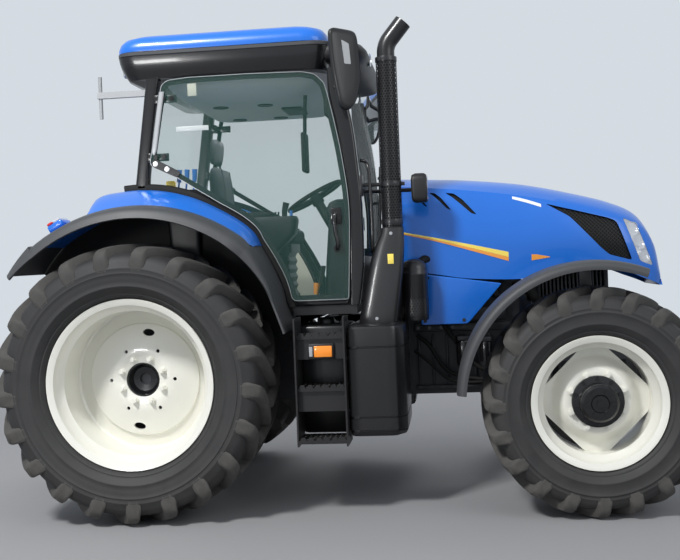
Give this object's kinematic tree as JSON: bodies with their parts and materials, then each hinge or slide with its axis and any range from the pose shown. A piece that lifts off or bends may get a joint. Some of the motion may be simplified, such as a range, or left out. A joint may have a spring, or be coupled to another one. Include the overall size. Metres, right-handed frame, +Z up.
{
  "type": "farm tractor",
  "caption": "Four-wheel-drive farm tractor with lugged tyres, glazed cab, opening doors, tilting bonnet, steered front wheels and rear linkage.",
  "frame": {"origin": "on the ground at the middle of the overall length and width", "axes": "+X forward, +Y to the tractor's left, +Z up"},
  "size_m": [4.3475, 2.46, 2.9859],
  "materials": {
    "paint_blue": "gloss",
    "black_plastic": "satin",
    "grey_plastic": "matte",
    "black_metal": "satin",
    "cast": "matte",
    "rim_white": "gloss",
    "rubber": "matte",
    "tint_glass": "gloss",
    "lamp_glass": "gloss",
    "seat_cloth": "matte",
    "soft_black": "matte"
  },
  "bodies": {
    "tractor": {"beacon_bracket": "black_metal", "bonnet_hinge": "black_metal", "cab_floor": "black_metal", "cab_glass": "tint_glass", "canister": "black_plastic", "cooler_pack": "cast", "dash": "black_plastic", "drawbar": "black_metal", "engine_block": "cast", "exhaust_cover": "black_plastic", "exhaust_stack": "black_metal", "fender_flares": "grey_plastic", "front_axle": "cast", "front_pillars": "black_metal", "front_support": "cast", "hitch_frame": "black_metal", "lamps": "black_plastic", "mirrors": "black_plastic", "operator_console": "black_plastic", "rear_axle": "cast", "rear_fenders": "paint_blue", "rear_pillars": "black_metal", "roof_cap": "paint_blue", "roof_liner": "black_plastic", "seat": "seat_cloth", "side_panels": "paint_blue", "side_tanks": "black_plastic", "stack_shield": "black_metal", "steps": "black_metal", "transmission_housing": "cast"},
    "rear_wheel_right": {"rear_tyre_right": "rubber", "rear_rim_right": "rim_white"},
    "front_wheel_right": {"front_tyre_right": "rubber", "front_rim_right": "rim_white"},
    "knuckle_right": {"knuckle_right": "cast", "front_fender_right": "grey_plastic"},
    "door_right": {"door_glass_right": "tint_glass", "door_fittings_right": "black_metal"},
    "rear_wheel_left": {"rear_tyre_left": "rubber", "rear_rim_left": "rim_white"},
    "front_wheel_left": {"front_tyre_left": "rubber", "front_rim_left": "rim_white"},
    "knuckle_left": {"knuckle_left": "cast", "front_fender_left": "grey_plastic"},
    "door_left": {"door_glass_left": "tint_glass", "door_fittings_left": "black_metal"},
    "bonnet": {"bonnet_shell": "paint_blue", "grille_panels": "black_plastic", "headlamps": "lamp_glass"},
    "steering_wheel": {"steering_wheel": "soft_black"},
    "lower_links": {"lower_links": "black_metal"},
    "lift_arms": {"lift_arms": "black_metal"},
    "lift_rods": {"lift_rods": "black_metal"}
  },
  "joints": [
    {"name": "rear_wheel_right_spin", "type": "hinge", "parent": "tractor", "child": "rear_wheel_right", "pos_m": [-1.1795, -0.93, 0.832], "axis": [0, 1, 0], "continuous": true},
    {"name": "steer_right", "type": "hinge", "parent": "tractor", "child": "knuckle_right", "pos_m": [1.5205, -0.61, 0.654], "axis": [0, 0, 1], "range_deg": [-30, 30]},
    {"name": "front_wheel_right_spin", "type": "hinge", "parent": "knuckle_right", "child": "front_wheel_right", "pos_m": [1.5205, -0.935, 0.654], "axis": [0, 1, 0], "continuous": true},
    {"name": "door_right_swing", "type": "hinge", "parent": "tractor", "child": "door_right", "pos_m": [-1.1125, -0.775, 2.168], "axis": [-0.1736, 0, -0.9848], "range_deg": [0, 75]},
    {"name": "rear_wheel_left_spin", "type": "hinge", "parent": "tractor", "child": "rear_wheel_left", "pos_m": [-1.1795, 0.93, 0.832], "axis": [0, 1, 0], "continuous": true},
    {"name": "steer_left", "type": "hinge", "parent": "tractor", "child": "knuckle_left", "pos_m": [1.5205, 0.61, 0.654], "axis": [0, 0, 1], "range_deg": [-30, 30]},
    {"name": "front_wheel_left_spin", "type": "hinge", "parent": "knuckle_left", "child": "front_wheel_left", "pos_m": [1.5205, 0.935, 0.654], "axis": [0, 1, 0], "continuous": true},
    {"name": "door_left_swing", "type": "hinge", "parent": "tractor", "child": "door_left", "pos_m": [-1.1125, 0.775, 2.168], "axis": [0.1736, 0, 0.9848], "range_deg": [0, 75]},
    {"name": "bonnet_lift", "type": "hinge", "parent": "tractor", "child": "bonnet", "pos_m": [0.4605, 0, 1.96], "axis": [0, -1, 0], "range_deg": [0, 50]},
    {"name": "steering_wheel_turn", "type": "hinge", "parent": "tractor", "child": "steering_wheel", "pos_m": [-0.1945, 0, 1.96], "axis": [-0.4695, 0, 0.8829], "range_deg": [-810, 810]},
    {"name": "hitch_lift", "type": "hinge", "parent": "tractor", "child": "lower_links", "pos_m": [-1.3095, 0, 0.47], "axis": [0, 1, 0], "range_deg": [-10, 35]},
    {"name": "lift_arms_turn", "type": "hinge", "parent": "tractor", "child": "lift_arms", "pos_m": [-1.3495, 0, 1.09], "axis": [0, 1, 0], "range_deg": [-12, 41]},
    {"name": "lift_rods_swing", "type": "hinge", "parent": "lift_arms", "child": "lift_rods", "pos_m": [-1.669, 0, 0.97371], "axis": [0, 1, 0], "range_deg": [-49, 15]}
  ],
  "couplings": [
    {"joint": "steer_left", "follows": "steer_right", "ratio": 1},
    {"joint": "lift_arms_turn", "follows": "hitch_lift", "ratio": 1.13},
    {"joint": "lift_rods_swing", "follows": "hitch_lift", "ratio": -1.369}
  ]
}
